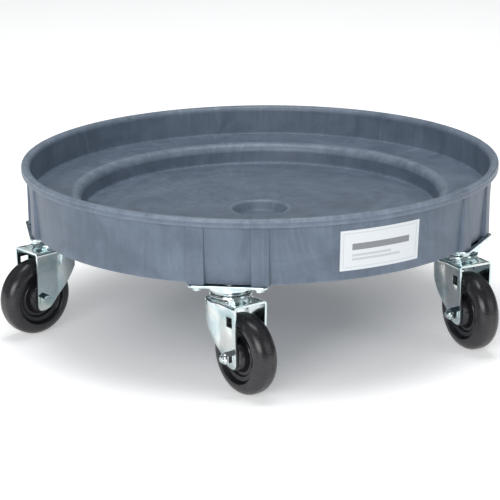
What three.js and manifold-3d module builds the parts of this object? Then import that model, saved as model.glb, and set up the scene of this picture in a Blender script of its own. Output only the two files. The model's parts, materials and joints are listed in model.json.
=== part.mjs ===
// Five-caster drum dolly: a round moulded tray that carries a steel drum, on five swivel casters
// bolted under its edge. Millimetres, +Z up, the origin on the tray's axis at the floor of its
// central well.

import * as THREE from 'three';
import Module from 'manifold-3d';
import { mergeVertices } from 'three/addons/utils/BufferGeometryUtils.js';

const wasm = await Module();
wasm.setup();

// ---- driving dimensions ----------------------------------------------------------------------

const degree = Math.PI / 180;
const gap = 0.3; // clearance between neighbouring pieces

// Tray heights, from the floor of the central well
const rimTop = 84;
const foot = rimTop - 84.5; // lower edge of the outer wall
const ledge = rimTop - 41.6; // the seat for a large drum
const sumpCorner = rimTop - 70.3; // the seat for a small drum, at its outer edge
const sumpMiddle = rimTop - 71.8; // the same floor beside the well
const rimBand = 10.6; // height of the rim's outer face

// Tray radii
const rimRadius = 317.5;
const rimInner = 306.4;
const rimLip = 3.5; // thickness of the rim's outer face, and its rounding
const rimGroove = 4.5; // depth below the rim's top of the groove behind that face
const drumSeat = 304.8; // inside of the wall at the ledge
const wallOuterTop = 310;
const wallOuterFoot = 305.2;
const sumpTop = 240;
const sumpBottom = 238;
const sumpFillet = 5;
const smallSeat = 30; // width of the level band at the edge of the sump's floor
const wellTop = 38;
const wellBottom = 28;
const ringRib = 150;
const wall = 3.8;
const floorSlab = 4;
const webThickness = 3.6;
const webShares = [0.26, 0.42, 0.58, 0.74]; // places of the webs between one caster and the next
const rootedIn = 2; // how far a web or boss runs into the moulding above it
const trayFacets = 60;

// Casters: the angle of each around the tray, and the way each one trails as the dolly stands
const casters = [
  { name: 'front', azimuth: -97.4, trailing: -53.5 },
  { name: 'right', azimuth: -25.4, trailing: -62.1 },
  { name: 'rear_right', azimuth: 46.6, trailing: 155 },
  { name: 'rear_left', azimuth: 118.6, trailing: 20 },
  { name: 'left', azimuth: -169.4, trailing: -137.8 },
];
const casterCircle = 282.9;
const loadHeight = 137.3; // foot of the tray to the ground
const trail = 29.7; // swivel axis to axle

// Caster plate, in a frame whose x points away from the tray's axis and whose z is 0 at the foot
const plateLength = 98;
const plateWidth = 60;
const plateThickness = 3;
const plateCorner = 6;
const boltAcross = 38; // bolt to swivel axis, along the plate
const boltOut = 22; // bolt to swivel axis, away from the tray's axis
const boltRadius = 3;
const boltAcrossFlats = 10;
const boltHead = 4;
const boltShank = 17;
const bossRadius = 8;
const bossDepth = 18;
const boltFacets = 8;
const headEase = 0.08; // easing of a hexagon's corners, as a share of its width

// Pads: the two thickened strips of outer wall above each caster plate
const padInner = 28.4;
const padOuter = 50.7;
const padFace = 311;
const padTop = rimTop - 6;
const padDepth = 9; // how far a strip runs inward under the ledge

// Swivel: the plate's race is a bowl with a skirt round the balls, and the fork's is a pan below it
const raceRadius = 29;
const raceFloor = -8.5; // lower face of the bowl
const skirt = { inner: 22.5, outer: 25, z: -14 };
const raceFacets = 16;
const panTop = -13; // upper face of the pan, at the pin
const panRadius = 19;
const panSheet = 3;
const ring = { radius: 26, top: -15, bottom: -17.5 };
const neckRadius = 21;
const pinRadius = 6;
const pinHeads = { upper: 10, upperTop: -1.5, upperFoot: -5.5, lower: 9.5, lowerTop: -16.3, end: -20.6 };
const pinFacets = 12;

// Fork, in a frame whose x is the trailing direction and whose y is along the axle
const forkHalf = 24.4; // half its width at the crown
const forkHalfAxle = 22.8; // and at the axle
const sheet = 2.8;
const crown = -21.6;
const crownBend = 4;
const legFront = 40.6;
const legBottom = -101.2;
const legCorner = 7;
const legHeel = { x: 13, z: -91 };
const legRear = { x: -25, z: -43.6 };
const legBulge = { x: -6, y: -8, radius: 35.3, end: -20 }; // arc of the leg's rear part, from above
const creaseAt = 9; // where the leg's flat front part ends
const forkBack = 29.7;
const rearOpening = 34;
const slot = { x: 29, z: -42.5, width: 11.8, height: 13 };

// Wheel and axle
const wheelRadius = 50.8;
const wheelWidth = 32;
const treadShoulder = 13; // rounding of the tread into the wheel's sides
const wheelFacets = 24;
const hubLength = 38.2;
const hubRadius = 18.5;
const sideRecess = 8; // depth of the dish in each side of the wheel
const bushingRadius = 6.8;
const axleRadius = 4.75;
const axleAcrossFlats = 14.3;
const axleHead = 6;
const axleNut = 11.5;
const axleProud = 2.8; // the bolt's end past its nut
const axleFacets = 10;
const axleHeight = wheelRadius - loadHeight;

// ---- shared shape helpers --------------------------------------------------------------------

function toSolid(geometry) {
  const bare = geometry.clone();
  bare.deleteAttribute('normal');
  bare.deleteAttribute('uv');
  const merged = mergeVertices(bare, 1e-4);
  const points = merged.attributes.position;
  const corners = [];
  let volume = 0;
  const a = new THREE.Vector3();
  const b = new THREE.Vector3();
  const c = new THREE.Vector3();
  for (let i = 0; i < merged.index.count; i += 3) {
    const [p, q, r] = [0, 1, 2].map((k) => merged.index.getX(i + k));
    if (p === q || q === r || r === p) continue;
    corners.push(p, q, r);
    a.fromBufferAttribute(points, p);
    b.fromBufferAttribute(points, q);
    c.fromBufferAttribute(points, r);
    volume += a.dot(b.cross(c));
  }
  const triVerts = new Uint32Array(volume < 0 ? corners.reverse() : corners);
  const vertProperties = new Float32Array(points.array);
  return new wasm.Manifold(new wasm.Mesh({ numProp: 3, vertProperties, triVerts }));
}

function toGeometry(solid) {
  const mesh = solid.getMesh();
  const geometry = new THREE.BufferGeometry();
  geometry.setAttribute('position', new THREE.BufferAttribute(mesh.vertProperties, mesh.numProp));
  geometry.setIndex(new THREE.BufferAttribute(mesh.triVerts, 1));
  geometry.computeVertexNormals();
  return geometry;
}

function union(solids) {
  return solids.reduce((all, next) => all.add(next));
}

function box(x0, x1, y0, y1, z0, z1) {
  const geometry = new THREE.BoxGeometry(x1 - x0, y1 - y0, z1 - z0);
  geometry.translate((x0 + x1) / 2, (y0 + y1) / 2, (z0 + z1) / 2);
  return toSolid(geometry);
}

// A turned shape about Z. The profile is a list of [radius, z].
function turned(profile, facets) {
  const points = profile.map(([radius, z]) => new THREE.Vector2(radius, z));
  return toSolid(new THREE.LatheGeometry(points, facets).rotateX(Math.PI / 2));
}

function disc(radius, z0, z1, facets) {
  return turned([[0, z0], [radius, z0], [radius, z1], [0, z1]], facets);
}

// An outline of [x, z] in the upright XZ plane, given a thickness along Y about y.
function upright(outline, y, thickness) {
  const shape = new THREE.Shape(outline.map(([x, z]) => new THREE.Vector2(x, z)));
  const geometry = new THREE.ExtrudeGeometry(shape, { depth: thickness, bevelEnabled: false });
  geometry.rotateX(Math.PI / 2).translate(0, y + thickness / 2, 0);
  return toSolid(geometry);
}

function arc(x, z, radius, from, to, steps) {
  return Array.from({ length: steps + 1 }, (_, i) => {
    const angle = (from + ((to - from) * i) / steps) * degree;
    return [x + radius * Math.cos(angle), z + radius * Math.sin(angle)];
  });
}

function placed(solid, { x = 0, y = 0, z = 0, turn = 0 }) {
  return solid.rotate(0, 0, turn).translate(x, y, z);
}

// From a caster plate's frame, or a fork's frame, to the tray's frame
function atCaster(solid, caster, turn) {
  return placed(solid, {
    x: casterCircle * Math.cos(caster.azimuth * degree),
    y: casterCircle * Math.sin(caster.azimuth * degree),
    z: foot,
    turn,
  });
}

// ---- tray ------------------------------------------------------------------------------------

// One closed section through the moulding, from the well's floor over the rim and back underneath
function traySection() {
  const lipInner = rimRadius - rimLip;
  const lipBottom = rimTop - rimBand;
  const groove = rimTop - rimGroove;
  const underLedge = ledge - wall;
  const slope = (sumpCorner - sumpMiddle) / (sumpBottom - smallSeat - wellTop);
  const under = (radius) => sumpMiddle + slope * (radius - wellTop) - floorSlab;
  const ribHalf = webThickness / 2;
  return [
    [0, 0],
    [wellBottom, 0],
    [wellTop - 3, sumpMiddle - 1.6],
    [wellTop, sumpMiddle],
    [sumpBottom - smallSeat, sumpCorner],
    [sumpBottom, sumpCorner],
    ...arc(sumpTop + sumpFillet, ledge - sumpFillet, sumpFillet, 180, 90, 2),
    [drumSeat, ledge],
    [rimInner, rimTop - 2.5],
    [rimInner + 2, rimTop],
    ...arc(lipInner, rimTop - rimLip, rimLip, 90, 0, 2),
    [rimRadius, lipBottom],
    [lipInner, lipBottom],
    [lipInner, groove],
    [wallOuterTop, groove],
    [wallOuterFoot, foot],
    [wallOuterFoot - wall, foot],
    [drumSeat - 0.9, underLedge],
    [sumpTop + wall, underLedge],
    [sumpBottom + wall, sumpCorner - floorSlab],
    [ringRib + ribHalf, under(ringRib + ribHalf)],
    [ringRib + ribHalf, foot],
    [ringRib - ribHalf, foot],
    [ringRib - ribHalf, under(ringRib - ribHalf)],
    [wellTop + wall + 2, under(wellTop)],
    [wellBottom + wall - 1, -floorSlab],
    [0, -floorSlab],
  ];
}

// A web under the ledge, from the sump's wall to the outer wall, set sideways from the radius
function ledgeWeb(offset) {
  const inside = Math.sqrt((sumpBottom + wall / 2) ** 2 - offset ** 2) + 0.6;
  const outside = Math.sqrt((wallOuterFoot - 0.8) ** 2 - offset ** 2);
  const top = ledge - rootedIn;
  return upright([[inside, foot], [outside, foot], [outside, top], [inside, top]], offset, webThickness);
}

// A shallow web under the sump's floor, from the well to the sump's wall
function sumpWeb() {
  const inner = wellTop + 1;
  const outer = sumpBottom + 1;
  const outline = [
    [inner, foot],
    [outer, foot],
    [outer, sumpCorner - rootedIn],
    [inner, sumpMiddle - rootedIn],
  ];
  return upright(outline, 0, webThickness);
}

function bothSides(make) {
  return [make(1), make(-1)];
}

// One thickened strip of wall over a caster, as a box before its face is rounded off
function padStrip(side) {
  const [near, far] = [padInner * side, padOuter * side].sort((a, b) => a - b);
  return box(wallOuterFoot - padDepth, padFace + 1, near, far, foot, padTop);
}

// The webs and bolt bosses over one caster plate
function padWebs() {
  const inner = casterCircle - boltOut;
  const half = webThickness / 2;
  const top = ledge - rootedIn;
  const tie = box(inner - half, inner + half, -boltAcross, boltAcross, foot, top);
  const bosses = bothSides((side) => placed(
    disc(bossRadius, foot, top, 12),
    { x: inner, y: boltAcross * side },
  ));
  return [ledgeWeb(0), tie, ...bothSides((side) => ledgeWeb(boltAcross * side)), ...bosses];
}

function boltPlaces() {
  const across = [boltAcross, -boltAcross];
  return [boltOut, -boltOut].flatMap((x) => across.map((y) => ({ x, y })));
}

function tray() {
  const step = 360 / casters.length;
  const strips = [];
  const webs = [];
  const holes = [];
  for (const caster of casters) {
    const facing = { turn: caster.azimuth };
    strips.push(...bothSides((side) => placed(padStrip(side), facing)));
    webs.push(...padWebs().map((web) => placed(web, facing)));
    for (const share of webShares) {
      webs.push(placed(ledgeWeb(0), { turn: caster.azimuth + share * step }));
    }
    for (const share of [0, 0.5]) {
      webs.push(placed(sumpWeb(), { turn: caster.azimuth + share * step }));
    }
    for (const { x, y } of boltPlaces()) {
      const hole = disc(boltRadius + gap, -1, bossDepth, boltFacets);
      holes.push(atCaster(placed(hole, { x, y }), caster, caster.azimuth));
    }
  }
  const face = disc(padFace, foot, padTop, trayFacets);
  const inside = disc(rimInner + 0.5, ledge - rootedIn, rimTop, trayFacets);
  const rounded = union(strips).intersect(face).subtract(inside);
  return turned(traySection(), trayFacets).add(rounded).add(union(webs)).subtract(union(holes));
}

// ---- caster plate, its bolts and the swivel pin ----------------------------------------------

function roundedRectangle(width, length, radius) {
  const [x, y] = [width / 2 - radius, length / 2 - radius];
  return [
    ...arc(x, y, radius, 0, 90, 2),
    ...arc(-x, y, radius, 90, 180, 2),
    ...arc(-x, -y, radius, 180, 270, 2),
    ...arc(x, -y, radius, 270, 360, 2),
  ];
}

// The plate's flat part and the race pressed down from it
function topPlate() {
  const outline = roundedRectangle(plateWidth, plateLength, plateCorner);
  const shape = new THREE.Shape(outline.map(([x, y]) => new THREE.Vector2(x, y)));
  const geometry = new THREE.ExtrudeGeometry(shape, { depth: plateThickness, bevelEnabled: false });
  const flat = toSolid(geometry.translate(0, 0, -gap - plateThickness));
  const bore = pinRadius + gap;
  const upper = raceFloor + sheet;
  const hollow = disc(raceRadius - 4, raceFloor, 1, raceFacets);
  const holes = boltPlaces().map((place) => (
    placed(disc(boltRadius + gap, raceFloor, 1, boltFacets), place)
  ));
  const race = [
    [bore, raceFloor],
    [skirt.inner - 1.5, raceFloor],
    [skirt.inner, skirt.z],
    [skirt.outer, skirt.z],
    [raceRadius, raceFloor],
    [raceRadius - 1, -gap],
    [raceRadius - 4.5, upper],
    [bore, upper],
    [bore, raceFloor],
  ];
  return flat.subtract(hollow).subtract(union(holes)).add(turned(race, raceFacets));
}

function kingpin() {
  const pin = pinHeads;
  return turned([
    [0, pin.end],
    [pin.lower, pin.end],
    [pin.lower, pin.lowerTop],
    [pinRadius, pin.lowerTop],
    [pinRadius, pin.upperFoot],
    [pin.upper, pin.upperFoot],
    [pin.upper, pin.upperTop],
    [0, pin.upperTop],
  ], pinFacets);
}

// A hexagonal head or nut about Z, with its corners eased where it faces away
function hexagon(acrossFlats, z0, z1) {
  const corner = acrossFlats / 2 / Math.cos(30 * degree);
  const ease = acrossFlats * headEase;
  const outward = z1 > z0 ? 1 : -1;
  return turned([
    [0, z0],
    [corner, z0],
    [corner, z1 - ease * outward],
    [corner - 1.4 * ease, z1],
    [0, z1],
  ], 6);
}

function mountBolt() {
  const under = -plateThickness - 2 * gap;
  return hexagon(boltAcrossFlats, under, under - boltHead)
    .add(disc(boltRadius, under - 1, under + boltShank, boltFacets));
}

// ---- fork ------------------------------------------------------------------------------------

// The leg seen from the side: upright in front, round at its toe, slanting up from its heel
function legSide() {
  const toe = { x: legFront - legCorner, z: legBottom + legCorner };
  return [
    [legFront, 0],
    ...arc(toe.x, toe.z, legCorner, 0, -90, 3),
    [trail - 3, legBottom],
    [legHeel.x + 2, legHeel.z - 2],
    [legHeel.x, legHeel.z],
    [legRear.x, legRear.z],
    [-forkBack - 1, legRear.z],
    [-forkBack - 1, 0],
  ];
}

// The outline of the folded sheet from above: straight sides in front, then sides that bulge
// round the swivel, then the back, round the kingpin
function forkPlan(inset) {
  const half = forkHalf - inset;
  const bulge = legBulge.radius - inset;
  const back = forkBack - inset;
  const alongBulge = (x) => legBulge.y + Math.sqrt(bulge ** 2 - (x - legBulge.x) ** 2);
  const backStart = Math.atan2(alongBulge(legBulge.end), legBulge.end) / degree;
  const side = [
    [2 * legFront, half],
    [creaseAt, half],
    ...[4, -4, -12, legBulge.end].map((x) => [x, alongBulge(x)]),
    ...arc(0, 0, back, backStart, 180, 4).slice(1),
  ];
  const otherSide = side.slice(0, -1).map(([x, y]) => [x, -y]).reverse();
  return [...side, ...otherSide];
}

// The sides lean in a little from the crown to the axle
function lean(geometry) {
  const points = geometry.attributes.position;
  const perHeight = (forkHalf - forkHalfAxle) / forkHalf / (crown - axleHeight);
  for (let i = 0; i < points.count; i += 1) {
    points.setY(i, points.getY(i) * (1 + perHeight * (points.getZ(i) - crown)));
  }
  return geometry;
}

// That outline as a solid block, from below the legs up to the crown, with a rounded top edge
function forkBlock(inset) {
  const bend = crownBend - inset;
  const shape = new THREE.Shape(forkPlan(inset).map(([x, y]) => new THREE.Vector2(x, y)));
  const height = 2 * Math.abs(axleHeight);
  const geometry = new THREE.ExtrudeGeometry(shape, {
    depth: height - 2 * bend,
    bevelThickness: bend,
    bevelSize: bend,
    bevelOffset: -bend,
    bevelSegments: inset > 0 ? 1 : 2,
  });
  return toSolid(lean(geometry.translate(0, 0, crown - inset + bend - height)));
}

// The race the fork hangs by: a pan round the pin and a ring down to the crown
function forkRace() {
  const bore = pinRadius + gap;
  const under = panTop - panSheet;
  const low = crown - 1.5;
  return turned([
    [bore, panTop],
    [panRadius, panTop],
    [neckRadius - 0.5, ring.top],
    [ring.radius, ring.top],
    [ring.radius + 0.5, ring.bottom],
    [ring.radius - 2, low],
    [neckRadius, low],
    [neckRadius, ring.bottom - 0.5],
    [panRadius - 0.5, under],
    [bore, under],
    [bore, panTop],
  ], raceFacets);
}

function fork() {
  const side = upright(legSide(), 0, 4 * forkHalf);
  const open = box(-2 * forkBack, 0, -rearOpening / 2, rearOpening / 2, axleHeight, crown - sheet);
  const shell = forkBlock(0).intersect(side).subtract(forkBlock(sheet)).subtract(open);
  const underRace = disc(neckRadius, crown - crownBend, panTop, raceFacets);
  const axleHole = arc(trail, axleHeight, axleRadius + gap, 0, 324, 9);
  const axle = upright(axleHole, 0, 4 * forkHalf);
  const window = box(
    slot.x - slot.width / 2, slot.x + slot.width / 2, -2 * forkHalf, 0,
    slot.z - slot.height / 2, slot.z + slot.height / 2,
  );
  return shell.subtract(underRace).add(forkRace()).subtract(axle).subtract(window);
}

// ---- wheel and axle, built about Z and then laid along Y --------------------------------------

function alongAxle(solid) {
  return solid.rotate(90, 0, 0).translate(trail, 0, axleHeight);
}

function wheel() {
  const half = wheelWidth / 2;
  const bore = bushingRadius + gap;
  const shoulder = wheelRadius - treadShoulder;
  const dish = half - sideRecess;
  const side = [
    ...arc(shoulder, half - treadShoulder, treadShoulder, 0, 90, 3),
    [shoulder - sideRecess / 2, dish],
    [hubRadius + sideRecess / 2, dish],
    [hubRadius, half - 1],
    [hubRadius - 2, hubLength / 2],
    [bore, hubLength / 2],
  ];
  const otherSide = side.map(([radius, z]) => [radius, -z]).reverse();
  return alongAxle(turned([...side, ...otherSide, side[0]], wheelFacets));
}

function bushing() {
  const half = forkHalfAxle - sheet - gap;
  const bore = axleRadius + gap;
  return alongAxle(turned([
    [bore, half],
    [bushingRadius, half],
    [bushingRadius, -half],
    [bore, -half],
    [bore, half],
  ], axleFacets));
}

// The bolt's head is on the fork's +y side and its nut on the other. Lying the shape along Y
// takes its +z end to -y.
function axleBolt() {
  const seat = forkHalfAxle + gap;
  const end = seat + axleNut + axleProud;
  return alongAxle(hexagon(axleAcrossFlats, -seat, -seat - axleHead)
    .add(disc(axleRadius, -seat - 1, end, axleFacets)));
}

function axleNutPiece() {
  const seat = forkHalfAxle + gap;
  const bore = disc(axleRadius + gap, 0, 2 * seat, axleFacets);
  return alongAxle(hexagon(axleAcrossFlats, seat, seat + axleNut).subtract(bore));
}

// ---- assembly --------------------------------------------------------------------------------

const materials = {
  polyethylene: { color: 0x5b6673, roughness: 0.6, metalness: 0 },
  zincPlate: { color: 0xb9c3c4, roughness: 0.35, metalness: 0.9 },
  wheelResin: { color: 0x141416, roughness: 0.35, metalness: 0 },
  plainSteel: { color: 0x8b8e90, roughness: 0.5, metalness: 0.9 },
};

const dolly = new THREE.Group();
dolly.name = 'drum_dolly';

function addPiece(name, solid, material) {
  const mesh = new THREE.Mesh(toGeometry(solid), new THREE.MeshStandardMaterial(materials[material]));
  mesh.name = name;
  dolly.add(mesh);
}

addPiece('tray', tray(), 'polyethylene');

for (const caster of casters) {
  const onPlate = (solid) => atCaster(solid, caster, caster.azimuth);
  const onFork = (solid) => atCaster(solid, caster, caster.trailing);
  const add = (piece, solid, material) => addPiece(`${caster.name}_${piece}`, solid, material);

  add('top_plate', onPlate(topPlate()), 'zincPlate');
  boltPlaces().forEach((place, i) => {
    add(`mount_bolt_${i + 1}`, onPlate(placed(mountBolt(), place)), 'zincPlate');
  });
  add('kingpin', onPlate(kingpin()), 'plainSteel');
  add('fork', onFork(fork()), 'zincPlate');
  add('axle_bolt', onFork(axleBolt()), 'zincPlate');
  add('axle_nut', onFork(axleNutPiece()), 'zincPlate');
  add('wheel_bushing', onFork(bushing()), 'plainSteel');
  add('wheel', onFork(wheel()), 'wheelResin');
}

export default dolly;
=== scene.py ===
import json
import math

import bmesh
import bpy
from mathutils import Matrix, Vector

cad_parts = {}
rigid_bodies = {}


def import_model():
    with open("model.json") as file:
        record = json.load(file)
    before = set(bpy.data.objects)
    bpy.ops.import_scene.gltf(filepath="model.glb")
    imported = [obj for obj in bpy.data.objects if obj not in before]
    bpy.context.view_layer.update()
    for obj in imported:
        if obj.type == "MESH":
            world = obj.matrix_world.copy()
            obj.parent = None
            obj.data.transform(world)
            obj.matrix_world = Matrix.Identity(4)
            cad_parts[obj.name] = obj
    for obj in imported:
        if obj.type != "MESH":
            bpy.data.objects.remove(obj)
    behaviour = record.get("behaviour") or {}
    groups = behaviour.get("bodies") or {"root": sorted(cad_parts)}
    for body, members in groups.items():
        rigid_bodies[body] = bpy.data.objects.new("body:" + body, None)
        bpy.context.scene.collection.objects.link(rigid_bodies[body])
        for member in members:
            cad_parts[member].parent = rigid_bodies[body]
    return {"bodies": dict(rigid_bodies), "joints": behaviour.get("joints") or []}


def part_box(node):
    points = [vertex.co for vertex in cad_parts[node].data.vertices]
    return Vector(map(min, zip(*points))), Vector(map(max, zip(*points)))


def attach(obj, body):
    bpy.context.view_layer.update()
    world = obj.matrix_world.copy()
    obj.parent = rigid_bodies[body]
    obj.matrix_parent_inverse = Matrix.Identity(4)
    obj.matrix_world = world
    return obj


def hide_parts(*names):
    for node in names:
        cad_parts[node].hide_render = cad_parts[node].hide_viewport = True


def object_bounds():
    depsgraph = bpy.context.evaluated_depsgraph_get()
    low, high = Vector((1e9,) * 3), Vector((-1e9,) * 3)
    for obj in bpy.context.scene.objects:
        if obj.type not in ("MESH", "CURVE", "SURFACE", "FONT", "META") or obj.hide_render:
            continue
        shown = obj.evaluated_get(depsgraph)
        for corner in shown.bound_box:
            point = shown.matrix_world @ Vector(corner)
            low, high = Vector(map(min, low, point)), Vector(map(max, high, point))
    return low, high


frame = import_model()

cadLow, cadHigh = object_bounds()
mm = 0.001  # shapes are drawn in millimetres and brought to metres as they are placed
gap = 0.3  # between pieces that touch
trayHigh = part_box("tray")[1]
rimRadius = trayHigh.x / mm
rimTop = trayHigh.z / mm
casterNames = sorted(body[:-len("_swivel")] for body in frame["bodies"] if body.endswith("_swivel"))
joints = {joint["name"]: joint for joint in frame["joints"]}


# ---- points and meshes

def polar(radius, angle, z=0.0):
    return Vector((radius * math.cos(angle), radius * math.sin(angle), z))


# A path of (x, y, fillet, wear) corners with each corner rounded off. It gives (x, y, wear) points.
# Two more points stand just off each fillet, so that wear and shading stay near it.
def roundedPath(corners, closed=False, steps=5, guard=2.0):
    path = []
    count = len(corners)
    for i, corner in enumerate(corners):
        here = Vector(corner[:2])
        fillet = corner[2] if len(corner) > 2 else 0
        wear = corner[3] if len(corner) > 3 else 0
        ends = not closed and i in (0, count - 1)
        if ends or not fillet:
            path.append((here.x, here.y, wear))
            continue
        back = Vector(corners[i - 1][:2]) - here
        ahead = Vector(corners[(i + 1) % count][:2]) - here
        half = back.angle(ahead) / 2
        beside = [side[2] if len(side) > 2 else 0 for side in (corners[i - 1], corners[(i + 1) % count])]
        shares = [0.98 * fillet / (fillet + other) for other in beside]
        reach = min(fillet / math.tan(half), back.length * shares[0], ahead.length * shares[1])
        radius = reach * math.tan(half)
        start = here + back.normalized() * reach
        end = here + ahead.normalized() * reach
        middle = here + (back.normalized() + ahead.normalized()).normalized() * radius / math.sin(half)
        turn = (start - middle).angle_signed(end - middle)
        if back.length * shares[0] > reach + guard:
            off = start + back.normalized() * guard
            path.append((off.x, off.y, 0))
        for k in range(steps + 1):
            at = middle + Matrix.Rotation(-turn * k / steps, 2) @ (start - middle)
            path.append((at.x, at.y, wear))
        if ahead.length * shares[1] > reach + guard:
            off = end + ahead.normalized() * guard
            path.append((off.x, off.y, 0))
    return path


# Skins a list of rings, each a list of points of one length
def loft(bm, rings, around=True, along=False, caps=False):
    rows = [[bm.verts.new(point) for point in ring] for ring in rings]
    width = len(rows[0])
    turns = range(width if around else width - 1)
    steps = range(len(rows) if along else len(rows) - 1)
    for i in steps:
        low, high = rows[i], rows[(i + 1) % len(rows)]
        for j in turns:
            k = (j + 1) % width
            bm.faces.new((low[j], low[k], high[k], high[j]))
    if caps:
        bm.faces.new(reversed(rows[0]))
        bm.faces.new(rows[-1])
    return rows


# A turned shape about Z from (radius, z) points. It closes on itself, or at the axis.
def turned(bm, profile, segments=64, closed=True, wearLayer=None):
    angles = [2 * math.pi * i / segments for i in range(segments)]
    rings = [[polar(max(point[0], 0.01), angle, point[1]) for angle in angles] for point in profile]
    rows = loft(bm, rings, along=closed, caps=not closed)
    if wearLayer:
        for row, point in zip(rows, profile):
            for vert in row:
                vert[wearLayer] = point[2]
    return rows


# A flat plate between two heights, from an outline and round holes, each (x, y, radius)
def plate(bm, outline, holes, low, high):
    holeSides = 24
    turns = [2 * math.pi * i / holeSides for i in range(holeSides)]
    loops = [outline]
    for x, y, radius in holes:
        loops.append([(x + radius * math.cos(turn), y + radius * math.sin(turn)) for turn in turns])
    top = [[bm.verts.new((x, y, high)) for x, y in loop] for loop in loops]
    bottom = [[bm.verts.new((x, y, low)) for x, y in loop] for loop in loops]
    edges = [bm.edges.new((loop[i - 1], loop[i])) for loop in top for i in range(len(loop))]
    filled = bmesh.ops.triangle_fill(bm, edges=edges, use_beauty=True)
    below = {}
    for upper, lower in zip(top, bottom):
        below.update(zip(upper, lower))
        for i in range(len(upper)):
            bm.faces.new((upper[i - 1], upper[i], lower[i], lower[i - 1]))
    for face in [item for item in filled["geom"] if isinstance(item, bmesh.types.BMFace)]:
        bm.faces.new([below[vert] for vert in reversed(face.verts)])


# Gives a skin its thickness, inward from its outer faces, and closes its edges
def thicken(bm, thickness):
    bm.normal_update()
    skin = list(bm.faces)
    inner = {vert: bm.verts.new(vert.co - vert.normal * thickness) for vert in list(bm.verts)}
    edges = [edge for edge in bm.edges if edge.is_boundary]
    for edge in edges:
        loop = edge.link_loops[0]
        first, second = loop.vert, loop.link_loop_next.vert
        bm.faces.new((second, first, inner[first], inner[second]))
    for face in skin:
        bm.faces.new([inner[vert] for vert in reversed(face.verts)])


def easeEdges(bm, width, angle=40, segments=2):
    bmesh.ops.recalc_face_normals(bm, faces=bm.faces)
    sharp = [edge for edge in bm.edges
             if len(edge.link_faces) == 2 and edge.calc_face_angle(0) > math.radians(angle)]
    bmesh.ops.bevel(bm, geom=sharp, offset=width, segments=segments, profile=0.5, affect="EDGES",
                    clamp_overlap=True)


def makePiece(name, bm, body, material, replaced=None, place=None, smooth=38):
    bmesh.ops.recalc_face_normals(bm, faces=bm.faces)
    mesh = bpy.data.meshes.new(name)
    bm.to_mesh(mesh)
    bm.free()
    mesh.transform(Matrix.Scale(mm, 4) @ (place or Matrix.Identity(4)))
    mesh.shade_smooth()
    mesh.set_sharp_from_angle(angle=math.radians(smooth))
    mesh.materials.append(material)
    piece = bpy.data.objects.new(name, mesh)
    bpy.context.scene.collection.objects.link(piece)
    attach(piece, body)
    if replaced:
        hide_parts(replaced)


# ---- shader sums

class Wire:  # one socket of a material's nodes. Sums on wires add Math nodes.
    def __init__(self, tree, socket=None):
        self.tree = tree
        self.socket = socket

    def make(self, kind, settings=None, inputs=None, output=0):
        node = self.tree.nodes.new(kind)
        for key, value in (settings or {}).items():
            setattr(node, key, value)
        for key, value in (inputs or {}).items():
            if isinstance(value, Wire):
                self.tree.links.new(value.socket, node.inputs[key])
            else:
                node.inputs[key].default_value = value
        return Wire(self.tree, node.outputs[output] if node.outputs else None)

    def math(self, operation, first, second=0.0):
        return self.make("ShaderNodeMath", {"operation": operation}, {0: first, 1: second})

    def __add__(self, other):
        return self.math("ADD", self, other)

    def __radd__(self, other):
        return self.math("ADD", other, self)

    def __sub__(self, other):
        return self.math("SUBTRACT", self, other)

    def __rsub__(self, other):
        return self.math("SUBTRACT", other, self)

    def __mul__(self, other):
        return self.math("MULTIPLY", self, other)

    def __rmul__(self, other):
        return self.math("MULTIPLY", other, self)

    def power(self, other):
        return self.math("POWER", self, other)

    def ramp(self, low, high, start=0.0, end=1.0):  # straight ramp, held at both ends
        return self.make("ShaderNodeMapRange", {}, {
            "Value": self, "From Min": low, "From Max": high, "To Min": start, "To Max": end})

    def noise(self, where, scale, detail=3.0, roughness=0.5, distortion=0.0):
        return self.make("ShaderNodeTexNoise", {}, {
            "Vector": where, "Scale": scale, "Detail": detail, "Roughness": roughness,
            "Distortion": distortion})

    def stretch(self, where, sizes):  # a vector times a vector
        return self.make("ShaderNodeVectorMath", {"operation": "MULTIPLY"}, {0: where, 1: sizes})

    def mix(self, share, first, second):  # colours
        return self.make("ShaderNodeMix", {"data_type": "RGBA"}, {0: share, 6: first, 7: second}, 2)

    def bump(self, height, distance, strength=1.0, under=None):
        inputs = {"Height": height, "Distance": distance, "Strength": strength}
        if under:
            inputs["Normal"] = under
        return self.make("ShaderNodeBump", {}, inputs)


def startMaterial(name):
    material = bpy.data.materials.new(name)
    material.use_nodes = True
    material.node_tree.nodes.clear()
    start = Wire(material.node_tree)
    where = start.make("ShaderNodeTexCoord", output=3)
    return material, start, where


def endMaterial(start, inputs):
    shader = start.make("ShaderNodeBsdfPrincipled", {}, inputs)
    start.make("ShaderNodeOutputMaterial", {}, {"Surface": shader})


# ---- materials

polyethylene = {
    "colour": (0.121, 0.156, 0.209, 1),
    "paleFlow": (0.156, 0.196, 0.256, 1),
    "darkFlow": (0.096, 0.126, 0.170, 1),
    # pale colour of flow strokes, web marks and rubbed corners; on rounded edges it is also a painted
    # highlight
    "paleMarksAndSheen": (0.34, 0.40, 0.48, 1),
    "roughness": 0.35,
    "specular": 0.36,
    "strokes": 0.42,
    # strength of the pale rubbed corners, which are partly real wear and partly a painted highlight
    "rubbingAndSheen": 0.42,
    "webMarks": 0.22,
    "webAngle": 0.143,  # from a caster to the marks over its outer webs
}


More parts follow.
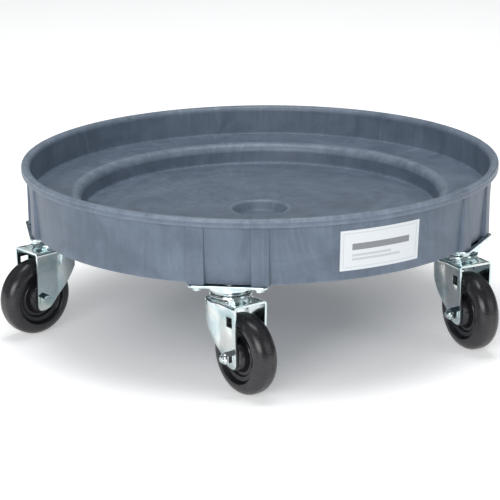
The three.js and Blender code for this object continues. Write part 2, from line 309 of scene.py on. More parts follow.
def makePolyethylene():
    material, start, where = startMaterial("blue grey polyethylene")
    look = polyethylene
    split = start.make("ShaderNodeSeparateXYZ", {}, {0: where})
    x, y, z = [Wire(start.tree, socket) for socket in split.socket.node.outputs]
    angle = start.math("ARCTAN2", y, x)
    radius = (x * x + y * y).power(0.5)
    warp = start.noise(where, 5.0, 3.0)
    # the melt spread out from the gate in the well, so its marks lie along circles and fan outward
    alongCircles = start.make("ShaderNodeCombineXYZ", {}, {
        0: radius * 34.0 + warp * 5.0, 1: angle * 2.2 + warp * 3.0, 2: z * 9.0})
    streaks = start.noise(alongCircles, 1.6, 5.0, 0.62, 0.6)
    clouds = start.noise(where, 9.0, 4.0, 0.6, 1.2)
    fromGate = start.make("ShaderNodeCombineXYZ", {}, {
        0: radius * 7.0, 1: angle * 26.0 + warp * 4.0, 2: z * 5.0})
    spokes = start.noise(fromGate, 1.3, 3.0, 0.5, 0.8)
    fan = start.make("ShaderNodeCombineXYZ", {}, {
        0: radius * 15.0 + warp * 3.0, 1: (angle + radius * 1.3 + warp * 0.4) * 52.0, 2: z * 14.0})
    strokes = start.noise(fan, 1.2, 5.0, 0.66, 0.4)
    flow = streaks.ramp(0.38, 0.66) * 0.5 + clouds.ramp(0.35, 0.7) * 0.3 + spokes.ramp(0.4, 0.68) * 0.2
    # the webs underneath show on the upright walls as thin pale lines
    share = math.pi / len(casterNames)
    pivot = joints[casterNames[0] + "_swivel_turn"]["pos_m"]
    first = math.atan2(pivot[1], pivot[0])
    offCaster = start.math("PINGPONG", angle - (first - 4 * math.pi) + warp * 0.01, share)
    offWeb = start.math("ABSOLUTE", offCaster - look["webAngle"])
    facing = start.make("ShaderNodeNewGeometry", output=1)
    upward = start.make("ShaderNodeSeparateXYZ", {}, {0: facing}, 2)
    onWall = start.math("ABSOLUTE", upward).ramp(0.3, 0.6, 1, 0)
    webMark = offWeb.ramp(0.0015, 0.006, 1, 0) * onWall
    grain = start.noise(where, 900.0, 2.0, 0.7)
    speck = start.noise(where, 260.0, 3.0, 0.7)
    colour = start.mix(flow.ramp(0.15, 0.5), look["darkFlow"], look["colour"])
    colour = start.mix(flow.ramp(0.5, 0.85) * 0.8, colour, look["paleFlow"])
    colour = start.mix(speck.ramp(0.45, 0.75) * 0.16, colour, look["paleFlow"])
    stroke = strokes.ramp(0.53, 0.70) * clouds.ramp(0.40, 0.62, 0.15, 1) * (1 - onWall * 0.7)
    colour = start.mix(stroke * look["strokes"], colour, look["paleMarksAndSheen"])
    colour = start.mix(webMark * clouds.ramp(0.45, 0.7) * look["webMarks"], colour, look["paleMarksAndSheen"])
    # The wear value pales the rubbed corners; on the sump's rounded edge and the rim's crest this pale
    # colour is also a painted highlight.
    wear = start.make("ShaderNodeAttribute", {"attribute_name": "wear"}, output=2)
    scuff = start.noise(where, 46.0, 5.0, 0.75, 0.5)
    paleMarksAndSheen = wear * scuff.ramp(0.34, 0.6, 0.2, 1.0) * look["rubbingAndSheen"]
    colour = start.mix(paleMarksAndSheen, colour, look["paleMarksAndSheen"])
    roughness = (grain * 0.08 + flow * 0.10 + look["roughness"]) - paleMarksAndSheen * 0.10
    sag = start.noise(where, 16.0, 2.0, 0.4)
    shape = start.bump(sag, 0.0016, 0.5)
    shape = start.bump(webMark * clouds, 0.0004, 0.4, shape)
    shape = start.bump(stroke, 0.00016, 0.5, shape)
    shape = start.bump(streaks + scuff * wear * 0.7, 0.00022, 0.6, shape)
    shape = start.bump(grain * 0.6 + speck * 0.4, 0.00007, 0.8, shape)
    endMaterial(start, {"Base Color": colour, "Roughness": roughness, "Normal": shape,
                        "Specular IOR Level": look["specular"]})
    return material


zincPlate = {
    "bright": (0.74, 0.79, 0.80, 1),
    "cool": (0.44, 0.58, 0.60, 1),
    "warm": (0.80, 0.77, 0.69, 1),
    "dull": (0.48, 0.51, 0.52, 1),
    "roughness": 0.10,
}


def makeZincPlate(name="bright zinc plate", roughness=zincPlate["roughness"], dullness=0.35):
    material, start, where = startMaterial(name)
    look = zincPlate
    tint = start.noise(where, 24.0, 3.0, 0.55, 0.8)
    film = start.noise(where, 11.0, 2.0, 0.5, 1.5)
    drawn = start.noise(start.stretch(where, (30.0, 30.0, 4.0)), 16.0, 4.0, 0.6)
    spots = start.noise(where, 260.0, 4.0, 0.7)
    colour = start.mix(tint.ramp(0.36, 0.62), look["cool"], look["bright"])
    colour = start.mix(film.ramp(0.54, 0.72) * 0.6, colour, look["warm"])
    dull = spots.ramp(0.48, 0.74) * dullness
    colour = start.mix(dull, colour, look["dull"])
    shine = roughness + drawn.ramp(0.3, 0.75) * 0.08 + dull * 0.2
    sag = start.noise(where, 55.0, 2.0, 0.4)
    shape = start.bump(sag, 0.0007, 0.16)
    shape = start.bump(spots * 0.5 + drawn * 0.5, 0.00004, 0.6, shape)
    endMaterial(start, {"Base Color": colour, "Roughness": shine, "Metallic": 1.0, "Normal": shape})
    return material


wheelResin = {
    "colour": (0.0090, 0.0092, 0.0120, 1),
    "pale": (0.029, 0.029, 0.034, 1),
    "dust": (0.085, 0.078, 0.072, 1),
    "roughness": 0.20,
}


def makeWheelResin():
    material, start, where = startMaterial("black wheel resin")
    look = wheelResin
    clouds = start.noise(where, 38.0, 4.0, 0.6, 0.6)
    grain = start.noise(where, 720.0, 3.0, 0.7)
    fibres = start.noise(start.stretch(where, (1.0, 1.0, 2.6)), 130.0, 5.0, 0.75, 0.7)
    wear = start.make("ShaderNodeAttribute", {"attribute_name": "wear"}, output=2)
    colour = start.mix(clouds.ramp(0.4, 0.72) * 0.6, look["colour"], look["pale"])
    trodden = wear * fibres.ramp(0.36, 0.66, 0.2, 1.0)
    colour = start.mix(trodden * 0.28, colour, look["dust"])
    colour = start.mix(grain.ramp(0.62, 0.8) * 0.12, colour, look["dust"])
    roughness = look["roughness"] + clouds * 0.10 + trodden * 0.14
    shape = start.bump(start.noise(where, 30.0, 2.0), 0.0008, 0.35)
    shape = start.bump(fibres * trodden + grain * 0.4, 0.00009, 0.6, shape)
    endMaterial(start, {"Base Color": colour, "Roughness": roughness, "Normal": shape,
                        "Specular IOR Level": 0.5})
    return material


labelLook = {
    "paper": (0.70, 0.735, 0.76, 1),
    "grey": (0.22, 0.23, 0.25, 1),
    "pale": (0.52, 0.55, 0.58, 1),
}


# The printed side: a plain border and three bars, by position across and up the label
def makeLabelPaper():
    material, start, where = startMaterial("white label")
    look = labelLook
    across = start.make("ShaderNodeAttribute", {"attribute_name": "across"}, output=2)
    up = start.make("ShaderNodeAttribute", {"attribute_name": "up"}, output=2)

    def bar(left, right, low, high):
        inX = start.math("LESS_THAN", left, across) * start.math("LESS_THAN", across, right)
        return inX * start.math("LESS_THAN", low, up) * start.math("LESS_THAN", up, high)

    outer = bar(0.035, 0.965, 0.07, 0.93)
    inner = bar(0.043, 0.957, 0.09, 0.91)
    fibres = start.noise(where, 420.0, 3.0, 0.6)
    colour = start.mix((outer - inner) * 0.75, look["paper"], look["pale"])
    colour = start.mix(bar(0.14, 0.86, 0.50, 0.66), colour, look["grey"])
    colour = start.mix(bar(0.14, 0.62, 0.34, 0.40), colour, look["pale"])
    colour = start.mix(bar(0.14, 0.74, 0.24, 0.30), colour, look["pale"])
    colour = start.mix(fibres.ramp(0.4, 0.8) * 0.05, colour, look["pale"])
    shape = start.bump(fibres, 0.00004, 0.5)
    endMaterial(start, {"Base Color": colour, "Roughness": fibres * 0.1 + 0.33, "Normal": shape})
    return material


print("materials")
trayMaterial = makePolyethylene()
zincMaterial = makeZincPlate()
fixingMaterial = makeZincPlate("bright zinc fixings", 0.09, 0.12)
steelMaterial = makeZincPlate("dull plated steel", 0.34, 0.7)
resinMaterial = makeWheelResin()
labelMaterial = makeLabelPaper()


# ---- tray

traySize = {
    "foot": rimTop - 84.5,
    "ledge": rimTop - 41.6,
    "sumpCorner": rimTop - 70.3,
    "sumpMiddle": rimTop - 71.8,
    "rimBand": 10.6,
    "rimRound": 6.0,
    "wallInner": rimRadius - 11.6,
    "drumSeat": rimRadius - 12.7,
    "wallTop": rimRadius - 7.5,
    "wallFoot": rimRadius - 12.3,
    "sumpTop": 240,
    "sumpRound": 11,
    "sumpBottom": 238,
    "smallSeat": 30,
    "wellTop": 38,
    "wellBottom": 28,
    "wall": 3.8,
    "slab": 4,
    "ringRib": 150,
    "padInner": 28.4,
    "padOuter": 50.7,
    "padFace": rimRadius - 6.5,
    "webFoot": 3.0,
    "webRoot": 4.2,
    "websBetween": (0.26, 0.42, 0.58, 0.74),
    "angleStep": math.radians(1.25),
}


def wallRadius(z):
    size = traySize
    share = (z - size["foot"]) / (rimTop - 4.5 - size["foot"])
    return size["wallFoot"] + (size["wallTop"] - size["wallFoot"]) * share


# The moulding's section: (radius, z, fillet, wear). The wear is on the corners that rub; its pale colour is
# also a painted highlight along these rounded corners, brightest on the sump's rounded edge and the rim's
# crest.
def traySection():
    size = traySize
    foot, ledge, wall, slab = size["foot"], size["ledge"], size["wall"], size["slab"]
    middle, corner = size["sumpMiddle"], size["sumpCorner"]
    lip = rimTop - size["rimBand"]
    rib = size["ringRib"]
    under = middle - slab + 0.8
    inside = [
        (0, 0.7), (2.2, 0.7, 0.3), (2.9, 0, 0.4), (size["wellBottom"], 0, 5),
        (size["wellTop"] + 0.5, middle, 5, 0.55),
        (size["sumpBottom"] - size["smallSeat"], corner),
        (size["sumpBottom"], corner, 3.5), (size["sumpTop"] + 0.4, ledge, size["sumpRound"], 0.75),
        (size["drumSeat"], ledge, 2.5), (size["wallInner"], rimTop, size["rimRound"], 0.5),
    ]
    rim = [(rimRadius, rimTop, 3.2, 1), (rimRadius, lip, 1.2, 0.5), (rimRadius - 3.5, lip, 0.8),
           (rimRadius - 3.5, rimTop - 4.5, 1)]
    outside = [(size["wallTop"], rimTop - 4.5, 1), (size["wallFoot"], foot, 0.9, 0.35)]
    underneath = [
        (size["wallFoot"] - wall, foot, 0.9), (size["drumSeat"] - 0.9, ledge - wall, 3),
        (size["sumpTop"] + wall, ledge - wall, size["sumpRound"] - wall),
        (size["sumpBottom"] + wall, corner - slab, 4),
        (rib + 2, under, 1.5), (rib + 1.6, foot, 0.7), (rib - 1.6, foot, 0.7), (rib - 2, under, 1.5),
        (size["wellTop"] + 6, middle - slab, 4), (size["wellBottom"] + 3, -slab, 4), (0, -slab),
    ]
    return inside + rim + outside + underneath


# Angles round the tray, with extra ones at each side of each pad strip, and how far into a strip
# each one is
def trayAngles():
    size = traySize
    edges = []
    for name in casterNames:
        middle = math.atan2(casterSite[name].y, casterSite[name].x)
        for side in (1, -1):
            for offset, inward in ((size["padInner"], 1), (size["padOuter"], -1)):
                edge = middle + side * math.asin(offset / size["padFace"])
                for step, share in ((-0.0022, 0), (-0.0006, 0.12), (0.0006, 0.88), (0.0022, 1)):
                    edges.append(((edge + side * inward * step) % (2 * math.pi), share))
    count = round(2 * math.pi / size["angleStep"])
    plain = [2 * math.pi * i / count for i in range(count)]
    near = size["angleStep"] * 0.45
    kept = [angle for angle in plain
            if all(abs((angle - edge + math.pi) % (2 * math.pi) - math.pi) > near for edge, _ in edges)]

    def inStrip(angle):
        for name in casterNames:
            middle = math.atan2(casterSite[name].y, casterSite[name].x)
            off = abs((angle - middle + math.pi) % (2 * math.pi) - math.pi)
            if size["padInner"] < size["padFace"] * math.sin(off) < size["padOuter"]:
                return 1.0 if off < 1 else 0.0
        return 0.0

    return sorted(edges + [(a, inStrip(a)) for a in kept])


# A web that hangs under the tray, thinner at its foot, along x and set sideways by offset
def web(bm, x0, x1, offset, low, highStart, highEnd, place):
    size = traySize
    foot, root = size["webFoot"] / 2, size["webRoot"] / 2
    ends = []
    for x, high in ((x0, highStart), (x1, highEnd)):
        ends.append([
            (x, offset - root, high), (x, offset - foot, low + 0.6), (x, offset - foot + 0.6, low),
            (x, offset + foot - 0.6, low), (x, offset + foot, low + 0.6), (x, offset + root, high),
        ])
    loft(bm, [[place @ Vector(point) for point in row] for row in ends], caps=True)


def ledgeWeb(bm, offset, place):
    size = traySize
    inside = math.sqrt((size["sumpTop"] + 2) ** 2 - offset ** 2)
    outside = math.sqrt((size["wallFoot"] - 1) ** 2 - offset ** 2)
    highInside, highOutside = size["ledge"] - size["sumpRound"], size["ledge"] - 2
    web(bm, inside, outside, offset, size["foot"], highInside, highOutside, place)


# The bolt seats over one caster plate, and the webs that carry them
def padUnderside(bm, middle):
    size = traySize
    place = Matrix.Rotation(middle, 4, "Z")
    foot, top = size["foot"], size["ledge"] - 2
    reach = casterSize["circle"] - casterSize["boltOut"]
    across = casterSize["boltAcross"]
    for offset in (0, across, -across):
        ledgeWeb(bm, offset, place)
    sideways = place @ Matrix.Translation((reach, 0, 0)) @ Matrix.Rotation(math.pi / 2, 4, "Z")
    web(bm, -across, across, 0, foot, top, top, sideways)
    for side in (1, -1):
        tube = [(3.4, foot, 0.4), (7.6, foot, 0.8), (8.4, top), (3.4, top)]
        rings = [[place @ (polar(r, a, z) + Vector((reach, across * side, 0))) for a in
                  [math.pi * i / 16 for i in range(32)]] for r, z, w in roundedPath(tube, closed=True)]
        loft(bm, rings, along=True)
        inner, outer = sorted((size["padInner"] * side, size["padOuter"] * side))
        block = [(inner, foot), (outer, foot), (outer, top), (inner, top)]
        loft(bm, [[place @ Vector((x, y, z)) for y, z in block] for x in
                  (size["wallFoot"] - 9, size["wallFoot"] - 1.5)], caps=True)


def makeTray():
    size = traySize
    bm = bmesh.new()
    wearLayer = bm.verts.layers.float.new("wear")
    angles = trayAngles()
    outerTop, outerFoot = rimTop - 3.6, size["foot"] - 0.1
    rings = []
    profile = roundedPath(traySection(), steps=6)
    for radius, z, wear in profile:
        onWall = size["wallFoot"] - 2 < radius < size["wallTop"] + 0.1 and outerFoot < z < outerTop
        outside = onWall and radius > wallRadius(z) - 1.4
        reach = max(size["padFace"] - radius, 0) if outside else 0
        rings.append([polar(max(radius, 0.01) + reach * share, angle, z) for angle, share in angles])
    rows = loft(bm, rings, caps=True)
    for row, point in zip(rows, profile):
        for vert in row:
            vert[wearLayer] = point[2]
    for name in casterNames:
        middle = math.atan2(casterSite[name].y, casterSite[name].x)
        padUnderside(bm, middle)
        step = 2 * math.pi / len(casterNames)
        for part in size["websBetween"]:
            ledgeWeb(bm, 0, Matrix.Rotation(middle + part * step, 4, "Z"))
        for part in (0, 0.5):
            web(bm, size["wellTop"] + 2, size["sumpBottom"] + 1, 0, size["foot"],
                size["sumpMiddle"] - 2, size["sumpCorner"] - 2,
                Matrix.Rotation(middle + part * step, 4, "Z"))
    makePiece("tray_moulding", bm, "tray", trayMaterial, "tray", smooth=32)


labelSize = {
    "middle": math.radians(-61.5),
    "width": 113,
    "low": rimTop - 72.6,
    "high": rimTop - 21.7,
    "proud": 0.12,
    "thickness": 0.18,
}


# A thin sheet stuck on the drafted wall
def makeLabel():
    size = labelSize
    bm = bmesh.new()
    acrossLayer = bm.verts.layers.float.new("across")
    upLayer = bm.verts.layers.float.new("up")
    columns, rows = 60, 12
    turn = size["width"] / traySize["wallTop"]
    for thickness in (size["thickness"], 0):
        grid = []
        for i in range(rows + 1):
            z = size["low"] + (size["high"] - size["low"]) * i / rows
            line = []
            for j in range(columns + 1):
                angle = size["middle"] + turn * (j / columns - 0.5)
                vert = bm.verts.new(polar(wallRadius(z) + size["proud"] + thickness, angle, z))
                vert[acrossLayer] = j / columns
                vert[upLayer] = i / rows
                line.append(vert)
            grid.append(line)
        for i in range(rows):
            for j in range(columns):
                corners = (grid[i][j], grid[i][j + 1], grid[i + 1][j + 1], grid[i + 1][j])
                bm.faces.new(corners if thickness else reversed(corners))
    bmesh.ops.bridge_loops(bm, edges=[edge for edge in bm.edges if edge.is_boundary])
    makePiece("wall_label", bm, "tray", labelMaterial)


# ---- casters

casterSize = {
    "circle": 282.9,
    "trail": 29.7,
    "boltAcross": 38,
    "boltOut": 22,
    "plateLength": 98,
    "plateWidth": 60,
    "plateThickness": 3,
    "plateCorner": 6.5,
    "raceRadius": 29,
    "pin": 6,
    "pinPlay": 0.4,
}

casterSite = {}
casterPlace = {}
forkPlace = {}
for name in casterNames:
    pivot = Vector(joints[name + "_swivel_turn"]["pos_m"]) / mm
    axle = Vector(joints[name + "_wheel_spin"]["pos_m"]) / mm
    site = Vector((pivot.x, pivot.y, traySize["foot"]))
    trailing = math.atan2(axle.y - pivot.y, axle.x - pivot.x)
    outward = math.atan2(pivot.y, pivot.x)
    casterSite[name] = site
    casterPlace[name] = Matrix.Translation(site) @ Matrix.Rotation(outward, 4, "Z")
    forkPlace[name] = Matrix.Translation(site) @ Matrix.Rotation(trailing, 4, "Z")
axleHeight = axle.z - traySize["foot"]


def boltPlaces():
    size = casterSize
    return [(x, y) for x in (size["boltOut"], -size["boltOut"])
            for y in (size["boltAcross"], -size["boltAcross"])]


def roundedRectangle(width, length, radius):
    x, y = width / 2, length / 2
    corners = [(x, -y, radius), (x, y, radius), (-x, y, radius), (-x, -y, radius)]
    return [point[:2] for point in roundedPath(corners, closed=True, steps=8, guard=50)]


def makeTopPlate(name):
    size = casterSize
    bm = bmesh.new()
    outline = roundedRectangle(size["plateWidth"], size["plateLength"], size["plateCorner"])
    holes = [(x, y, 3.4) for x, y in boltPlaces()] + [(0, 0, size["raceRadius"] - 4)]
    plate(bm, outline, holes, -gap - size["plateThickness"], -gap)
    easeEdges(bm, 0.7)
    race = size["raceRadius"]
    bore = size["pin"] + size["pinPlay"]
    bowl = [
        (bore, -8.5, 0.5), (20.8, -8.5, 1), (22.4, -14, 0.3), (24.4, -14.3, 0.5), (race + 0.3, -9.2, 7),
        (race - 0.6, -2.5, 1), (race + 0.6, -0.35, 0.2), (race - 3.4, -0.4, 1), (race - 4.6, -5.7, 1.5),
        (bore, -5.8, 0.5),
    ]
    turned(bm, roundedPath(bowl, closed=True, steps=6, guard=50), 72)
    makePiece(name + "_plate", bm, "tray", zincMaterial, name + "_top_plate",
              casterPlace[name])


# A hexagonal head or nut about Z from z0 to z1, chamfered at z1
def hexagon(bm, acrossFlats, z0, z1):
    flat = acrossFlats / 2
    ring = flat * 0.96
    outward = 1 if z1 > z0 else -1
    angles = [math.pi * i / 30 for i in range(60)]
    reach = [flat / math.cos((a + math.pi / 6) % (math.pi / 3) - math.pi / 6) for a in angles]
    levels = [
        [polar(r, a, z0) for r, a in zip(reach, angles)],
        [polar(r, a, z1 - outward * (r - ring) * 0.55) for r, a in zip(reach, angles)],
        [polar(ring, a, z1) for a in angles],
        [polar(ring * 0.5, a, z1) for a in angles],
    ]
    loft(bm, levels, caps=True)


def threadedEnd(radius, start, end, pitch):
    points = []
    for i in range(int((end - start) / pitch)):
        crest = start + i * pitch + pitch * 0.15
        root = start + (i + 0.65) * pitch
        points += [(radius, crest), (radius - pitch * 0.45, root)]
    return points


mountBolt = {"radius": 3, "flats": 10, "head": 3.6, "flange": 4.7, "length": 17, "pitch": 1.0}


def makeMountBolt(name, number, place):
    size = mountBolt
    radius, flange = size["radius"], size["flange"]
    bm = bmesh.new()
    under = -casterSize["plateThickness"] - 2 * gap
    washer = [(0, under), (flange, under), (flange, under - 0.5), (0, under - 0.5)]
    turned(bm, washer, 32, False)
    hexagon(bm, size["flats"], under - 0.4, under - 0.4 - size["head"])
    end = under + size["length"]
    shank = [(0, under - 1), (radius, under - 1), (radius, under + 3)]
    shank += threadedEnd(radius, under + 3, end - 1, size["pitch"]) + [(radius - 0.6, end - 0.5), (0, end)]
    turned(bm, shank, 20, False)
    makePiece(f"{name}_plate_bolt_{number}", bm, "tray", steelMaterial,
              f"{name}_mount_bolt_{number}", casterPlace[name] @ Matrix.Translation((*place, 0)), 30)


def makeKingpin(name):
    bm = bmesh.new()
    pin = casterSize["pin"]
    rivet = [(0, -20.6), (pin, -20.6, 1), (9.5, -18.6, 1.5), (9.5, -16.3, 0.4), (pin, -16.3, 0.4),
             (pin, -5.6, 0.4), (10, -5.6, 0.4), (10, -3.4, 1), (7, -1.6, 1.5), (0, -1.5)]
    turned(bm, roundedPath(rivet, steps=4, guard=50), 40, False)
    makePiece(name + "_swivel_pin", bm, "tray", steelMaterial, name + "_kingpin",
              casterPlace[name])


ballRace = {"radius": 18.6, "height": -10.75, "ball": 2.05, "count": 26}


def makeBalls(name):
    bm = bmesh.new()
    for i in range(ballRace["count"]):
        at = polar(ballRace["radius"], 2 * math.pi * i / ballRace["count"], ballRace["height"])
        bmesh.ops.create_icosphere(bm, subdivisions=2, radius=ballRace["ball"],
                                   matrix=Matrix.Translation(at))
    makePiece(name + "_race_balls", bm, name + "_swivel", steelMaterial,
              place=forkPlace[name])


forkSize = {
    "half": 24.4,
    "halfAxle": 22.8,
    "sheet": 2.8,
    "crown": -21.6,
    "bend": 4,
    "front": 40.6,
    "bottom": -101.2,
    "toe": 7,
    "heel": (13, -91),
    "rear": (-25, -43.6),
    "crease": 9,
    "bulge": (-6, -8, 35.3),
    "back": 29.7,
    "backGap": 17,
    "neck": 24.2,
    "neckTop": -18,
    "window": (23.1, 34.9, -49, -36),
    "dent": (4.5, 5, 1.6, -44),
}


# Half of the fork's outline from above, from its front corner to the middle of its back, as
# (point, outward direction, whether it is part of the back)
def forkSide():
    size = forkSize
    x0, y0, bulge = size["bulge"]
    front, crease, gap = size["front"], size["crease"], size["backGap"]
    toes = [front - size["toe"] * (1 - math.cos(math.radians(a))) for a in (0, 25, 45, 60, 75, 90)]
    flat = sorted(toes + list(size["window"][:2]) + [29, 20, 16.5, 13, 10.5], reverse=True)
    side = [(Vector((x, size["half"])), Vector((0, 1)), False) for x in flat]
    side.append((Vector((crease, size["half"])), Vector((0.1, 1)).normalized(), False))
    for x in (7.5, 6, 4.5, 3, 1.5, -1, -4, -7, -10, -13, -16, -18.5, -20.5):
        y = y0 + math.sqrt(bulge ** 2 - (x - x0) ** 2)
        side.append((Vector((x, y)), Vector((x - x0, y - y0)).normalized(), False))
    start = math.atan2(side[-1][0].y, side[-1][0].x)
    opening = math.pi - math.asin(gap / size["back"])
    for share in (0.35, 0.7, 1):
        angle = start + (opening - start) * share
        side.append((polar(size["back"], angle).to_2d(), polar(1, angle).to_2d(), False))
    for i in range(9):
        angle = opening + (math.pi - opening) * i / 8
        side.append((polar(size["back"], angle).to_2d(), polar(1, angle).to_2d(), True))
    return side


# The leg's lower edge from toe to rear, as heights along x
def legBottom(x):
    size = forkSize
    front, low, toe = size["front"], size["bottom"], size["toe"]
    if x > front - toe:
        return low + toe - math.sqrt(max(toe ** 2 - (x - front + toe) ** 2, 0))
    path = [(front - toe, low), (casterSize["trail"] - 3, low), (20, low + 3), size["heel"], size["rear"]]
    for (x1, z1), (x0, z0) in zip(path, path[1:]):
        if x0 <= x <= x1:
            return z0 + (z1 - z0) * (x - x0) / (x1 - x0)
    return size["rear"][1]


# The sides lean in a little from the crown to the axle
def lean(point):
    size = forkSize
    slope = (size["half"] - size["halfAxle"]) / size["half"] / (size["crown"] - axleHeight)
    return Vector((point.x, point.y * (1 + slope * (min(point.z, size["crown"]) - size["crown"])), point.z))


# The outer face's points down one column, over the crown from the neck and down to the lower edge
def crownColumn(edge):
    size = forkSize
    inner = edge.normalized() * min(size["neck"], edge.length - 1.5)
    column = []
    for share in (0, 0.1, 0.22, 0.38, 0.6, 1):
        at = inner.lerp(edge, share)
        drop = (size["neckTop"] - size["crown"]) * (1 - share) ** 2.6
        column.append(Vector((at.x, at.y, size["crown"] + drop)))
    return column


def forkColumn(point, outward, isBack):
    size = forkSize
    crown, bend = size["crown"], size["bend"]
    edge = point - outward * bend
    column = crownColumn(edge)
    for turn in [math.radians(a) for a in (22.5, 45, 67.5, 90)]:
        at = edge + outward * bend * math.sin(turn)
        column.append(Vector((at.x, at.y, crown - bend + bend * math.cos(turn))))
    bottom = crown - bend - 1.5 if isBack else legBottom(point.x)
    low, high = size["window"][2:]
    levels = [-27.5, -29.5, -32, high, -40, -44.5, low]
    levels += [low + (legBottom(point.x) - low) * share for share in (0.33, 0.66, 1)]
    dentAt, dentWide, dentDeep, dentLow = size["dent"]
    for z in levels:
        z = max(z, bottom)
        fade = max(0, min(1, (z - dentLow) / (crown - bend - dentLow)))
        narrow = dentWide * (0.35 + 0.65 * fade)
        inward = dentDeep * fade * max(0, 1 - abs(point.x - dentAt) / narrow)
        column.append(Vector((*(point - outward * inward), z)))
    return column


# The folded sheet: columns round the outline and across the crown's front edge, then its thickness
def forkSheet(bm):
    size = forkSize
    half = [forkColumn(*place) for place in forkSide()]
    mirrored = [[Vector((v.x, -v.y, v.z)) for v in column] for column in reversed(half[:-1])]
    sides = half + mirrored
    inset = size["half"] - size["bend"]
    front = [crownColumn(Vector((size["front"], inset * (i / 6 - 1)))) for i in range(13)]
    made = {}

    def skin(columns, rows):
        left, right, low, high = size["window"]
        for first, second in zip(columns, columns[1:]):
            for i in range(rows - 1):
                corners = (first[i], second[i], second[i + 1], first[i + 1])
                middle = sum(corners, Vector()) / 4
                gap = left < middle.x < right and low < middle.z < high and middle.y < 0
                spread = (corners[2] - corners[0]).cross(corners[3] - corners[1]).length
                if gap or spread < 0.02:
                    continue
                verts = []
                for corner in corners:
                    key = tuple(round(value, 2) for value in corner)
                    if key not in made:
                        made[key] = bm.verts.new(lean(corner))
                    if made[key] not in verts:
                        verts.append(made[key])
                if len(verts) > 2:
                    bm.faces.new(verts)

    skin(sides, len(half[0]))
    skin(front, len(front[0]))
    bmesh.ops.recalc_face_normals(bm, faces=bm.faces)
    if sum(face.normal.z * face.calc_area() for face in bm.faces) < 0:
        bmesh.ops.reverse_faces(bm, faces=bm.faces)
    thicken(bm, size["sheet"])
    easeEdges(bm, 0.45, 55)


def makeFork(name):
    bm = bmesh.new()
    forkSheet(bm)
    race = casterSize["raceRadius"]
    bore = casterSize["pin"] + casterSize["pinPlay"]
    pan = [
        (bore, -13, 0.5), (19, -13, 0.6), (20.4, -15, 0.6), (race - 3.6, -15.1, 0.7),
        (race - 2.6, -17.4, 0.9), (race - 4.4, -18.6, 0.6), (race - 8, -18.2, 0.8), (18.5, -16, 1),
        (bore, -16, 0.5),
    ]
    turned(bm, roundedPath(pan, closed=True, steps=4, guard=50), 72)
    makePiece(name + "_fork_sheet", bm, name + "_swivel", zincMaterial,
              name + "_fork", forkPlace[name], smooth=34)


wheelSize = {
    "radius": 50.5,
    "width": 32,
    "shoulder": 13,
    "hub": 18.5,
    "hubLength": 38.2,
    "bushing": 6.8,
}


# From a shape about Z to one along the axle: its +z end goes to the fork's -y side
def alongAxle():
    return Matrix.Translation((casterSize["trail"], 0, axleHeight)) @ Matrix.Rotation(math.pi / 2, 4, "X")


def makeWheel(name):
    size = wheelSize
    half, radius, hub = size["width"] / 2, size["radius"], size["hub"]
    bore = size["bushing"] + gap
    side = [
        (radius, half, size["shoulder"], 0.5), (radius - 15, half, 1.4, 0.2),
        (radius - 18, half - 5.4, 2), (hub + 8.4, half - 6, 1.2), (hub + 7.2, half - 8.6, 1.2),
        (hub + 2.4, half - 8.6, 2.5), (hub + 0.6, half - 1, 1.2),
        (hub - 1.4, size["hubLength"] / 2, 0.9, 0.4), (bore + 4, size["hubLength"] / 2, 0.3),
        (bore + 3.6, size["hubLength"] / 2 - 1, 0.3), (bore, size["hubLength"] / 2 - 1, 0.5),
    ]
    tread = [(radius, y, 0, 1) for y in (1.5, -1.5)]
    otherSide = [(r, -z, *rest) for r, z, *rest in reversed(side)]
    bm = bmesh.new()
    wearLayer = bm.verts.layers.float.new("wear")
    path = roundedPath(side + otherSide + tread[::-1], closed=True, steps=10, guard=2.5)
    turned(bm, path, 120, True, wearLayer)
    makePiece(name + "_wheel_body", bm, name + "_rolling", resinMaterial,
              name + "_wheel", forkPlace[name] @ alongAxle(), 30)


def makeBushing(name):
    half = forkSize["halfAxle"] - forkSize["sheet"] - gap
    bm = bmesh.new()
    bore, outside = axleSize["radius"] + gap, wheelSize["bushing"]
    tube = [(bore, half, 0.3), (outside, half, 0.4), (outside, -half, 0.4), (bore, -half, 0.3)]
    turned(bm, roundedPath(tube, closed=True, steps=3, guard=50), 40)
    makePiece(name + "_spanner_bushing", bm, name + "_swivel", steelMaterial,
              name + "_wheel_bushing", forkPlace[name] @ alongAxle())


axleSize = {"radius": 4.75, "flats": 14.3, "head": 6, "nut": 11.5, "proud": 2.8, "pitch": 1.4}


def makeAxle(name):
    size = axleSize
    radius, flat = size["radius"], size["flats"] / 2
    seat = forkSize["halfAxle"] + gap
    place = forkPlace[name] @ alongAxle()
    bm = bmesh.new()
    washer = [(0, -seat), (flat, -seat), (flat, -seat - 0.5), (0, -seat - 0.5)]
    turned(bm, washer, 40, False)
    hexagon(bm, size["flats"], -seat - 0.4, -seat - size["head"])
    end = seat + size["nut"] + size["proud"]
    shank = [(0, -seat - 1), (radius, -seat - 1), (radius, seat - 6)]
    shank += threadedEnd(radius, seat - 6, end - 1, size["pitch"])
    shank += [(radius - 0.9, end - 0.5), (radius - 1.5, end), (0, end)]
    turned(bm, shank, 36, False)
    makePiece(name + "_axle_screw", bm, name + "_swivel", fixingMaterial,
              name + "_axle_bolt", place, 30)
    bm = bmesh.new()
    top = seat + size["nut"]
    bore = radius + 0.25
    hexagon(bm, size["flats"], seat, top - 3.4)
    collar = [(bore, seat + 2), (flat - 0.4, seat + 2), (flat - 0.4, top - 2.2, 0.9),
              (flat - 1.2, top - 0.3, 0.7), (bore, top, 0.3)]
    turned(bm, roundedPath(collar, closed=True, steps=4, guard=50), 40)
    makePiece(name + "_lock_nut", bm, name + "_swivel", fixingMaterial,
              name + "_axle_nut", place, 30)


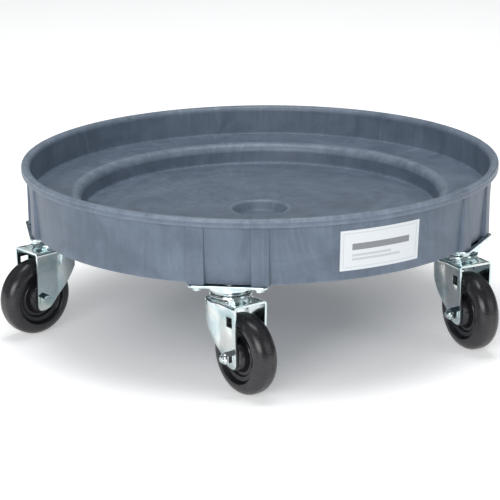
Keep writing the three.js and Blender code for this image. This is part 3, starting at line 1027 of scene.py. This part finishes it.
print("tray")
makeTray()
makeLabel()
for name in casterNames:
    print("caster", name)
    makeTopPlate(name)
    for number, place in enumerate(boltPlaces(), 1):
        makeMountBolt(name, number, place)
    makeKingpin(name)
    makeBalls(name)
    makeFork(name)
    makeWheel(name)
    makeBushing(name)
    makeAxle(name)


# ---- floor, light and camera

studio = {
    "floor": (0.90, 0.90, 0.90, 1),
    # the floor's glow is painted light, dimmed near the middle as a painted shadow under the tray
    "floorGlow": 0.66,
    "glowFrom": (0.18, 0.46),  # distance from the middle over which the floor's glow comes in
    "world": (0.91, 0.96, 1.0, 1),
    "worldStrength": 0.16,
    "floorSize": 26.0,
    "lights": {  # place, aim, size and power
        "front": ((-1.0, -3.4, 1.3), (0, 0, 0), (2.6, 1.5), 73),
        "right": ((2.6, -1.4, 1.0), (0, 0, 0), (0.8, 1.4), 6),
        "above": ((0.0, 0.1, 2.3), (0, 0.05, 0), (1.5, 1.3), 36),
        "back": ((-0.3, 2.9, 1.6), (0, 0, 0), (2.8, 0.7), 4),
    },
}


def makeFloor():
    material, start, where = startMaterial("pale floor")
    cloud = start.noise(where, 1.5, 3.0)
    colour = start.mix(cloud.ramp(0.3, 0.7) * 0.3, studio["floor"], (0.90, 0.90, 0.905, 1))
    # The floor glows as painted light so that it reads white; the glow fades towards the middle, a painted
    # shadow under the tray.
    out = start.make("ShaderNodeVectorMath", {"operation": "LENGTH"}, {0: where}, "Value")
    glow = start.mix(out.ramp(*studio["glowFrom"], 0.18, 1), (0, 0, 0, 1), studio["floor"])
    endMaterial(start, {"Base Color": colour, "Roughness": cloud * 0.1 + 0.6, "Specular IOR Level": 0.2,
                        "Emission Color": glow, "Emission Strength": studio["floorGlow"]})
    bm = bmesh.new()
    half = studio["floorSize"] / 2
    bmesh.ops.create_grid(bm, x_segments=8, y_segments=8, size=half,
                          matrix=Matrix.Translation((0, 0, cadLow.z)))
    mesh = bpy.data.meshes.new("floor")
    bm.to_mesh(mesh)
    bm.free()
    mesh.materials.append(material)
    floor = bpy.data.objects.new("floor", mesh)
    bpy.context.scene.collection.objects.link(floor)


def makeLight(name, at, aim, size, power):
    light = bpy.data.lights.new(name, "AREA")
    light.shape = "RECTANGLE"
    light.size, light.size_y = size
    light.energy = power
    lamp = bpy.data.objects.new(name, light)
    lamp.location = at
    lamp.rotation_mode = "QUATERNION"
    lamp.rotation_quaternion = (Vector(aim) - Vector(at)).to_track_quat("-Z", "Y")
    bpy.context.scene.collection.objects.link(lamp)


def makeStudio():
    world = bpy.data.worlds.new("studio")
    world.use_nodes = True
    background = world.node_tree.nodes["Background"]
    background.inputs["Color"].default_value = studio["world"]
    background.inputs["Strength"].default_value = studio["worldStrength"]
    bpy.context.scene.world = world
    makeFloor()
    for name, light in studio["lights"].items():
        makeLight(name, *light)


# The camera stands off from the middle of the rim, by a distance in rim radii
cameraSetting = {
    "distance": 7.975,
    "elevation": math.radians(13.85),
    "pitch": math.radians(16.71),
    "yaw": math.radians(-0.33),
    "roll": math.radians(-0.56),
    "lens": 136.06,
}


def makeCamera():
    look = cameraSetting
    away = look["distance"] * rimRadius * mm
    at = Vector((0, -away * math.cos(look["elevation"]), away * math.sin(look["elevation"]) + rimTop * mm))
    ahead = Vector((math.sin(look["yaw"]) * math.cos(look["pitch"]),
                    math.cos(look["yaw"]) * math.cos(look["pitch"]), -math.sin(look["pitch"])))
    right = ahead.cross(Vector((0, 0, 1))).normalized()
    up = right.cross(ahead)
    rolledRight = right * math.cos(look["roll"]) + up * math.sin(look["roll"])
    rolledUp = up * math.cos(look["roll"]) - right * math.sin(look["roll"])
    camera = bpy.data.cameras.new("camera")
    camera.lens = look["lens"]
    camera.sensor_width = 36
    camera.clip_end = 50
    holder = bpy.data.objects.new("camera", camera)
    turn = Matrix((rolledRight, rolledUp, -ahead)).transposed()
    holder.matrix_world = Matrix.Translation(at) @ turn.to_4x4()
    bpy.context.scene.collection.objects.link(holder)
    bpy.context.scene.camera = holder


print("studio")
makeStudio()
makeCamera()
bpy.context.scene.view_settings.view_transform = "Standard"

print("done")
